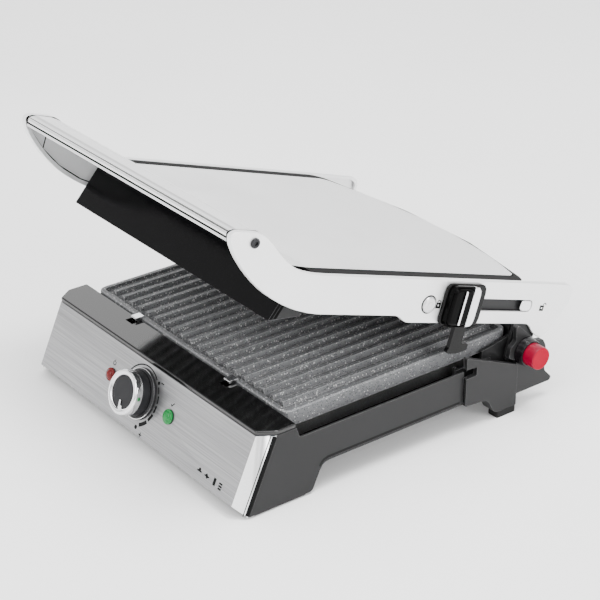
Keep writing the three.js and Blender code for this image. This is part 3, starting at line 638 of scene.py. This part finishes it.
# ------------------------------------------------------------------ lamps
# Two neon lamps behind domed lenses of clear tinted plastic, pushed into the panel from the
# front. Each lens has a stepped rim and a raised centre.
def lens(name, colour, glow):
    material, tree, shader = new_material(
        name, Coat_Weight=0.1, Coat_Roughness=0.02, Specular_IOR_Level=0.25)
    place = place_in(tree)
    cells = node_in(tree, "TexVoronoi", Vector=place, Scale=900.0)
    deeper = darker(colour, 0.45)
    tree.links.new(
        mixed(tree, cells.outputs["Distance"], (*colour, 1), deeper), shader.inputs["Base Color"])
    slow = effect(tree, grain, Place=place)["Tone"]
    tree.links.new(math_in(tree, "MULTIPLY_ADD", slow, 0.1, 0.1), shader.inputs["Roughness"])
    tree.links.new(
        mixed(tree, cells.outputs["Distance"], (*colour, 1), (0, 0, 0, 1)),
        shader.inputs["Emission Color"])
    shader.inputs["Emission Strength"].default_value = glow
    return material


red_lens = lens("red lens", (0.15, 0.0, 0.0), 0.02)
green_lens = lens("green lens", (0.0, 0.22, 0.04), 0.12)
for node, along, down, reach, material in (
        ("lamp_power", -LAMP_STEP, 1.0, 6.3, red_lens), ("lamp_ready", LAMP_STEP, 2.0, 6.9, green_lens)):
    seat = on_dial @ Matrix.Translation((along, -down / 1000, 0))
    standing_for(turned(node + "_turned", [
        (0, -14), (4.4, -14), (4.4, 0.4), (reach - 0.2, 0.4), (reach, 0.6), (reach, 1.2),
        (reach - 0.4, 1.7), (reach - 1.6, 1.9), (reach - 2.0, 2.3), (reach - 2.4, 3.0),
        (reach - 3.2, 3.6), (reach * 0.32, 3.95), (0, 4.0)], seat, material, steps=48), node)

# ------------------------------------------------------------------ grill plates
# Die-cast aluminium plates with low round ridges and a stone-effect non-stick coating: grey
# enamel with white and black specks, rough to the touch. The rim is rubbed bright.
SPECK_FADE = 5.5
speckle, speckle_in, speckle_out = effect_group(
    "stone speckle",
    [("Place", "NodeSocketVector", None)],
    [("White", "NodeSocketFloat"), ("Black", "NodeSocketFloat"), ("Height", "NodeSocketFloat")])


# Each cell of the coating can hold one round speck, and only a part of the cells has one.
def scattered_specks(cells, spread, channel, empty_share):
    found = node_in(speckle, "TexVoronoi", Vector=speckle_in["Place"], Scale=cells)
    drawn = node_in(speckle, "SeparateColor", Color=found.outputs["Color"]).outputs[channel]
    spot = math_in(speckle, "MULTIPLY_ADD", found.outputs["Distance"], -SPECK_FADE, spread, clamp=True)
    return math_in(speckle, "MULTIPLY", spot, math_in(speckle, "GREATER_THAN", drawn, empty_share))


speckle.links.new(scattered_specks(470.0, 2.2, "Red", 0.66), speckle_out["White"])
speckle.links.new(scattered_specks(760.0, 2.6, "Green", 0.55), speckle_out["Black"])
pebbles = node_in(speckle, "TexNoise", Vector=speckle_in["Place"], Scale=650.0, Detail=3.0)
speckle.links.new(pebbles.outputs["Fac"], speckle_out["Height"])

STONE_DARK = (0.080, 0.082, 0.086, 1)
STONE_LIGHT = (0.160, 0.163, 0.168, 1)
SPECK_BLACK = (0.022, 0.022, 0.024, 1)
SPECK_WHITE = (0.50, 0.50, 0.49, 1)
RUBBED_RIM = (0.50, 0.50, 0.50, 1)
stone, stone_tree, stone_shader = new_material("stone coating", Specular_IOR_Level=0.55)
stone_place = place_in(stone_tree)
stone_specks = effect(stone_tree, speckle, Place=stone_place)
stone_tone = effect(stone_tree, grain, Place=stone_place)["Tone"]
stone_worn = effect(stone_tree, wear_and_highlight, Place=stone_place, Width=0.0012)["Mask"]
stone_ground = mixed(stone_tree, stone_tone, STONE_DARK, STONE_LIGHT)
stone_dark = mixed(stone_tree, stone_specks["Black"], stone_ground, SPECK_BLACK)
stone_light = mixed(stone_tree, stone_specks["White"], stone_dark, SPECK_WHITE)
stone_rubbed = mixed(stone_tree, stone_worn, stone_light, RUBBED_RIM)
stone_tree.links.new(stone_rubbed, stone_shader.inputs["Base Color"])
stone_tree.links.new(
    math_in(stone_tree, "MULTIPLY_ADD", stone_tone, 0.18, 0.36), stone_shader.inputs["Roughness"])
relief(stone_tree, stone_shader, stone_specks["Height"], 0.35, depth=0.0003)

for node in ("lower_plate", "upper_plate"):
    edged_copy(node, stone, 0.0010, steps=3)

# ------------------------------------------------------------------ heaters and reflectors
# Under each plate lies a bent tubular heater with a dark steel sheath, over a reflector of
# thin mill-finish aluminium.
sheath = brushed_metal("heater sheath", (0.05, 0.05, 0.052, 1), (0.10, 0.10, 0.105, 1), 0.5, 0.6)
mill_aluminium = brushed_metal(
    "mill aluminium", (0.55, 0.555, 0.56, 1), (0.72, 0.725, 0.73, 1), 0.34)
for node in ("lower_heater", "upper_heater"):
    frame["nodes"][node].data.materials.clear()
    frame["nodes"][node].data.materials.append(sheath)
for node in ("lower_reflector", "upper_reflector"):
    edged_copy(node, mill_aluminium, 0.0003)

# ------------------------------------------------------------------ plate clips
# Chromed spring-steel hooks that slide in the ledge and hold the rim of the lower plate.
for node in ("plate_clip_left", "plate_clip_right"):
    edged_copy(node, chrome, 0.0004, steps=3)

# ------------------------------------------------------------------ rear brackets and towers
# Black mouldings screwed to the back corners of the base: brackets that carry the rear feet,
# hinge towers with steel pins, and a round cover between the towers over the hinge line.
for node in ("bracket_right", "bracket_left", "tower_right", "tower_left", "rear_cover"):
    edged_copy(node, black_moulding, 0.0006)
for node in ("hinge_pin_right", "hinge_pin_left"):
    edged_copy(node, turned_steel, 0.0004)

# ------------------------------------------------------------------ release button
# A red push button of gloss plastic on the right end of the hinge, in a black collar. On the
# left end there is a plain black cap of the same shape.
hinge_joint = next(j for j in frame["joints"] if j["name"] == "lid_hinge")
HINGE = Vector(hinge_joint["pos_m"])
BUTTON_FRONT = 0.189
right_end = Matrix.Translation(HINGE) @ Matrix.Rotation(math.radians(90), 4, "Y")
left_end = Matrix.Translation(HINGE) @ Matrix.Rotation(math.radians(-90), 4, "Y")

red_plastic = polished_plastic("red button plastic", (0.24, 0.0, 0.020, 1), 0.34, shine=0.2)
# The button's front face takes a lighter copy of the red plastic: painted light on the face.
red_face_lit = polished_plastic("red button face lit", (0.34, 0.0, 0.020, 1), 0.42, shine=0.06)
collar_black = polished_plastic("collar black", (0.004, 0.003, 0.004, 1), 0.25, shine=0.3)

standing_for(turned("button_collar_turned", [
    (11.3, 168.3), (13.9, 168.3), (14.0, 168.6), (13.7, 170.0), (13.2, 172.0), (12.7, 176.4),
    (12.5, 176.9), (12.2, 177.0), (11.5, 177.0), (11.3, 176.8)], right_end, collar_black),
    "button_collar")
button_piece = standing_for(turned("release_button_turned", [
    (0, 185.0), (8.6, 185.0), (8.6, 172.6), (10.8, 172.6), (11.0, 172.9), (11.0, 188.0),
    (10.9, 188.7), (10.5, 189.2), (9.9, 189.45), (9.2, 189.5), (8.6, 189.3), (0, 189.2)],
    right_end, red_plastic), "release_button")


def on_button_front(face):
    return face.normal.x > 0.9 and face.center.x > BUTTON_FRONT


other_material_on(button_piece, red_face_lit, on_button_front)
standing_for(turned("hinge_cap_left_turned", [
    (0, 168.3), (13.2, 168.3), (13.4, 168.6), (12.5, 176.0), (11.2, 177.0), (11.0, 177.4),
    (11.0, 188.2), (10.8, 189.0), (10.0, 189.5), (8.6, 189.5), (0, 189.3)],
    left_end, black_moulding), "hinge_cap_left")

# ------------------------------------------------------------------ feet and cord gland
# Soft black rubber pads pressed under the four feet, and a ribbed rubber gland in the back wall.
rubber = moulded_plastic(
    "black rubber", (0.009, 0.009, 0.009, 1), (0.03, 0.03, 0.03, 1), 0.75, 0.3, 900.0)
for node in ("foot_pad_front_right", "foot_pad_front_left", "foot_pad_rear_right",
             "foot_pad_rear_left", "cord_gland"):
    edged_copy(node, rubber, 0.0005)

# ------------------------------------------------------------------ side arms of the lid
# Two pressings of sheet steel with rolled edges, painted satin silver, that run from the handle
# to the hinge. Dark steel knuckles are riveted inside them.
SILVER = (0.93, 0.933, 0.937, 1)
SILVER_DARK = (0.86, 0.863, 0.867, 1)
silver_paint = brushed_metal("satin silver", SILVER_DARK, SILVER, 0.38, metallic=0.55, depth=0.015,
                             low=0.2, high=0.8)
dark_steel = moulded_plastic(
    "dark steel", (0.018, 0.018, 0.019, 1), (0.1, 0.1, 0.1, 1), 0.4, 0.05)
for side in ("right", "left"):
    edged_copy("arm_" + side, silver_paint, 0.0009, steps=3, corner=50.0, smooth=50.0)
    edged_copy("knuckle_" + side, dark_steel, 0.0004)

# The lid is drawn lid down and then stood open about the hinge, as it is at rest.
OPENING = math.radians(18.3)
lid_open = Matrix.Translation(HINGE) @ Matrix.Rotation(-OPENING, 4, "X") @ Matrix.Translation(-HINGE)


def lid_place(x, y, z):
    return lid_open @ Vector((x / 1000, (y - MIDDLE) / 1000, z / 1000))


def on_arm(side, y, z):
    spot = Matrix.Translation((0, (y - MIDDLE) / 1000, z / 1000))
    return lid_open @ spot @ Matrix.Rotation(side * math.radians(90), 4, "Y")


# A socket screw holds each arm to the handle, and the upper head hangs on a rivet in each arm.
SCREW_SPOT = (-48, 148.6)
RIVET_SPOT = (165, 100.3)
black_screw = polished_metal("blackened steel", (0.035, 0.035, 0.037, 1), 0.3)
rivet_steel = brushed_metal(
    "rivet steel", (0.62, 0.62, 0.63, 1), (0.8, 0.8, 0.81, 1), 0.3, depth=0.02)
for side, sign in (("right", 1), ("left", -1)):
    standing_for(turned("arm_screw_" + side + "_turned", [
        (0, 162.8), (4.4, 162.8), (4.4, 163.7), (4.2, 164.1), (3.8, 164.3), (2.4, 164.3),
        (2.1, 164.1), (2.0, 163.1), (0, 163.0)], on_arm(sign, *SCREW_SPOT), black_screw, 36),
        "arm_screw_" + side)
    standing_for(turned("head_rivet_" + side + "_turned", [
        (0, 152.4), (4, 152.4), (4, 162.8), (7.5, 162.8), (7.6, 163.0), (7.6, 163.5), (7.2, 164.3),
        (6.4, 164.8), (5.6, 164.9), (5.2, 164.5), (3.0, 164.5), (2.6, 164.9), (1.2, 165.0),
        (0, 165.0)], on_arm(sign, *RIVET_SPOT), rivet_steel, 48), "head_rivet_" + side)
    # A thin black ink ring round each rivet head is painted shade in the gap round it.
    rivet_gap_shade = turned("head_rivet_gap_shade_" + side, [
        (7.4, 162.4), (8.7, 162.4), (8.7, 162.62), (7.4, 162.62)], on_arm(sign, *RIVET_SPOT), ink, 48)
    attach(rivet_gap_shade, "lid")

# ------------------------------------------------------------------ cover sheet and handle
# One sheet of satin stainless steel: the flat top of the lid runs forward into a raised S-curve,
# whose rolled front lip is the handle. Its back edge is bowed.
SHEET_THICKNESS = 0.0012
SHEET_HALF = 142.2
SHEET_BACK = 279.0
HANDLE_HALF = 155.0
HANDLE_BACK = -38.0
NECK_BACK = 26.0
REAR_CORNER = 134.2
REAR_EDGE = 289.5
REAR_BOW = 29.0
CORNER_DROP = 9.0
satin_lid = brushed_metal("satin lid", SILVER_DARK, SILVER, 0.18, metallic=1.0, depth=0.012,
                          low=0.2, high=0.8)


# A bent section starts as straight runs between corner points, and each corner is rounded.
def bent_section(bm, points):
    corners = [bm.verts.new((0, y, z)) for y, z, _ in points]
    for pair in zip(corners, corners[1:]):
        bm.edges.new(pair)
    for corner, (_, _, radius) in zip(corners, points):
        if radius:
            bmesh.ops.bevel(bm, geom=[corner], offset=radius, offset_type="OFFSET", segments=8,
                            profile=0.5, affect="VERTICES", material=-1)


# The sheet is widest at the handle and narrows smoothly through the neck behind it.
def half_width(y):
    share = min(max((y - HANDLE_BACK) / (NECK_BACK - HANDLE_BACK), 0.0), 1.0)
    return HANDLE_HALF + (SHEET_HALF - HANDLE_HALF) * share * share * (3 - 2 * share)


def rear_edge(x):
    if abs(x) > REAR_CORNER:
        past_corner = (abs(x) - REAR_CORNER) / (SHEET_HALF - REAR_CORNER)
        return REAR_EDGE - CORNER_DROP * past_corner ** 2
    return REAR_EDGE + REAR_BOW * (1 - (x / REAR_CORNER) ** 2)


sheet_bm = bmesh.new()
bent_section(sheet_bm, [
    (-71.4, 150.2, 0), (-72.6, 154, 2.4), (-67, 157, 4.4), (-41, 156.6, 7), (-29, 148.4, 6),
    (-14, 136.4, 9), (4, 126.4, 9), (26, 123.2, 11), (180, 123.2, 0), (SHEET_BACK, 123.2, 0)])
RUNS = 44
section = list(sheet_bm.edges)
step = 2.0 / RUNS
bmesh.ops.translate(sheet_bm, verts=sheet_bm.verts, vec=(-1, 0, 0))
for run in range(RUNS):
    grown = bmesh.ops.extrude_edge_only(sheet_bm, edges=section)["geom"]
    section = [g for g in grown if isinstance(g, bmesh.types.BMEdge)]
    bmesh.ops.translate(sheet_bm, verts=[g for g in grown if isinstance(g, bmesh.types.BMVert)],
                        vec=(step, 0, 0))
for corner in sheet_bm.verts:
    across = math.sin(corner.co.x * math.pi / 2)
    x = across * half_width(corner.co.y)
    y = rear_edge(x) if corner.co.y > SHEET_BACK - 0.1 else corner.co.y
    corner.co = (x, y, corner.co.z)
bmesh.ops.scale(sheet_bm, vec=(0.001, 0.001, 0.001), verts=sheet_bm.verts)
bmesh.ops.translate(sheet_bm, vec=(0, -MIDDLE / 1000, 0), verts=sheet_bm.verts)
bmesh.ops.recalc_face_normals(sheet_bm, faces=sheet_bm.faces)
if sum(face.normal.z for face in sheet_bm.faces) < 0:
    bmesh.ops.reverse_faces(sheet_bm, faces=sheet_bm.faces)
bmesh.ops.solidify(sheet_bm, geom=sheet_bm.faces[:], thickness=SHEET_THICKNESS)
bmesh.ops.recalc_face_normals(sheet_bm, faces=sheet_bm.faces)
edged(sheet_bm, 0.0003, corner=60.0)
bmesh.ops.transform(sheet_bm, matrix=lid_open, verts=sheet_bm.verts)
standing_for(finished("lid_sheet_bent", sheet_bm, satin_lid, 50.0), "lid_sheet")

# ------------------------------------------------------------------ lid carrier and handle grip
# A satin black moulded frame under the sheet shows as a thin dark line round it. The hollow of
# the handle is filled by a black grip with a chromed strip along its front lip.
satin_black = polished_plastic("satin black", (0.002, 0.002, 0.002, 1), 0.5, shine=0.03)
edged_copy("lid_carrier", satin_black, 0.0005, steps=3)
edged_copy("handle_grip", black_moulding, 0.0006)
edged_copy("handle_trim", chrome, 0.0006, steps=3)

# Thin black rubber gaskets fill the joint between the handle and the two arms.
GASKET_IN = 155.1
GASKET_OUT = 156.45
GASKET_OUTLINE = (
    (-71.4, 148.4), (-73.2, 153.2), (-71.4, 155.6), (-67.6, 156.75), (-54, 156.9), (-43.5, 156.8),
    (-38.0, 154.9), (-29.0, 148.9), (-14.0, 136.9), (-4.0, 130.6), (3.9, 127.0), (2.0, 122.4),
    (-16.5, 131.4), (-31.5, 143.2), (-44, 151.8), (-64, 151.6), (-68.2, 148.4))
for side, sign in (("right", 1), ("left", -1)):
    gasket = bmesh.new()
    ring = [gasket.verts.new(lid_place(sign * GASKET_IN, y, z)) for y, z in GASKET_OUTLINE]
    side_face = gasket.faces.new(ring)
    pushed = bmesh.ops.extrude_face_region(gasket, geom=[side_face])["geom"]
    bmesh.ops.translate(gasket, verts=[g for g in pushed if isinstance(g, bmesh.types.BMVert)],
                        vec=(sign * (GASKET_OUT - GASKET_IN) / 1000, 0, 0))
    bmesh.ops.recalc_face_normals(gasket, faces=gasket.faces)
    gasket_piece = finished("handle_gasket_" + side, gasket, satin_black)
    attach(gasket_piece, "lid")

# The joint between the sheet's rolled lip and the chromed strip is a thin black line.
LIP_JOINT = (0.3092, 0.0025, 0.0014)
lip_joint = bmesh.new()
lip_middle = Matrix.Translation(lid_place(0, -70.5, 149.7)) @ Matrix.Rotation(-OPENING, 4, "X")
bmesh.ops.create_cube(lip_joint, size=1.0, matrix=lip_middle @ Matrix.Diagonal((*LIP_JOINT, 1)))
edged(lip_joint, 0.0001, steps=1)
lip_joint = finished("handle_lip_joint", lip_joint, satin_black)
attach(lip_joint, "lid")

# ------------------------------------------------------------------ lid lock on the right arm
# A black slider runs in the arm's slot. Its gloss grip has a chromed ridge and a chromed strip
# at its back, and a leg with a hook reaches down to the bracket. A chrome plug ends the slot.
TRIM_DARK_END = 208.4
slider_black = polished_plastic("slider black", (0.003, 0.003, 0.003, 1), 0.24, shine=0.15)
grip_black = polished_plastic("grip black", (0.001, 0.001, 0.001, 1), 0.10, shine=0.04)
edged_copy("lock_slider", slider_black, 0.0008, steps=3)
edged_copy("lock_grip", grip_black, 0.0012, steps=3)
edged_copy("lock_grip_ridge", chrome, 0.0003)

# The front of the slider's trim is black like the grip, and only its back end is chromed.
trim_bm = copied("lock_trim")
bmesh.ops.bisect_plane(
    trim_bm, geom=trim_bm.verts[:] + trim_bm.edges[:] + trim_bm.faces[:],
    plane_co=lid_place(170, TRIM_DARK_END, 100), plane_no=lid_open.to_3x3() @ Vector((0, 1, 0)))
edged(trim_bm, 0.0006)
trim_piece = standing_for(finished("lock_trim_finished", trim_bm, chrome), "lock_trim")


def on_trim_front(face):
    return (lid_open.inverted() @ face.center).y * 1000 + MIDDLE < TRIM_DARK_END


other_material_on(trim_piece, grip_black, on_trim_front)
edged_copy("slot_end_trim", chrome, 0.0010, steps=3)

# Two small padlock signs beside the slot are printed in black ink, closed and open. Each is a
# square frame with a bow over it.
ARM_OUTSIDE = 0.1625
PADLOCK_HALF = 0.0018
PADLOCK_BAR = (0.0019, 0.0055)
lock_marks = bmesh.new()
for mark_y, mark_z, swing in ((177.0, 99.6, 0.0), (312.6, 99.4, 0.0030)):
    along = (mark_y - MIDDLE) / 1000
    height = mark_z / 1000
    printed_bar(lock_marks, (along + PADLOCK_HALF, height), PADLOCK_BAR)
    printed_bar(lock_marks, (along - PADLOCK_HALF, height), PADLOCK_BAR)
    printed_bar(lock_marks, (along, height + PADLOCK_HALF), PADLOCK_BAR[::-1])
    printed_bar(lock_marks, (along, height - PADLOCK_HALF), PADLOCK_BAR[::-1])
    printed_arc(lock_marks, 0.0013, 0.0022, 0.0, math.pi, centre=(along + swing, height + 0.0030))
arm_side = stood_at(ARM_OUTSIDE, 1)
printed_piece("lock_marks", lock_marks, lid_open @ arm_side, ink, "lid")

# Inside each pressed arm, black ink strips along the folded rim are painted shade where the liner
# meets the rim, and one strip up the arm is the dark seam where the liner ends.
RIM_SHADE_PATH = ((-60.4, 139.0), (-46.0, 125.4), (-24.4, 110.6), (2.8, 99.2), (29.0, 93.6))
SEAM_CROSSING = ((-46.0, 125.4), (-45.0, 148.0))
SEAM_WIDTH = 0.0012
ARM_INSIDE = 0.1595
for side, sign in (("right", 1), ("left", -1)):
    arm_seam_and_shade = bmesh.new()
    for (y0, z0), (y1, z1) in (*zip(RIM_SHADE_PATH, RIM_SHADE_PATH[1:]), SEAM_CROSSING):
        middle = ((y0 + y1) / 2000 - MIDDLE / 1000, (z0 + z1) / 2000)
        run = math.hypot(y1 - y0, z1 - z0) / 1000
        printed_bar(arm_seam_and_shade, middle, (run, SEAM_WIDTH), math.atan2(z1 - z0, y1 - y0))
    inner_side = stood_at(sign * ARM_INSIDE, -sign)
    printed_piece("arm_seam_and_shade_" + side, arm_seam_and_shade, lid_open @ inner_side, ink, "lid")

# ------------------------------------------------------------------ upper heating head
# The black housing of the upper plate hangs between the arms on two rivets. Its front is gloss,
# and its side cheeks are satin.
head_gloss = polished_plastic("head gloss", (0.0010, 0.0010, 0.0013, 1), 0.16, shine=0.05)


def on_cheek(face):
    return abs(face.normal.x) > 0.7


head_piece = edged_copy("head_housing", head_gloss, 0.0006)
other_material_on(head_piece, black_moulding, on_cheek)

# A double black seam runs down each cheek behind the front, where the two mouldings meet.
CHEEK = 0.1510
SEAM_THICKNESS = 0.00015
SEAM_STRIPS = (((-2.2, 79.2), (0.9, 79.6), (12.9, 106.0), (9.9, 106.0)),
               ((2.0, 79.8), (5.2, 80.2), (17.2, 106.0), (13.9, 106.0)))
for side, sign in (("right", 1), ("left", -1)):
    head_seam = bmesh.new()
    for strip in SEAM_STRIPS:
        outlined(head_seam, strip)
    cheek = stood_at(sign * CHEEK, sign)
    printed_piece("head_seam_" + side, head_seam, lid_open @ cheek, satin_black, "head",
                  SEAM_THICKNESS)
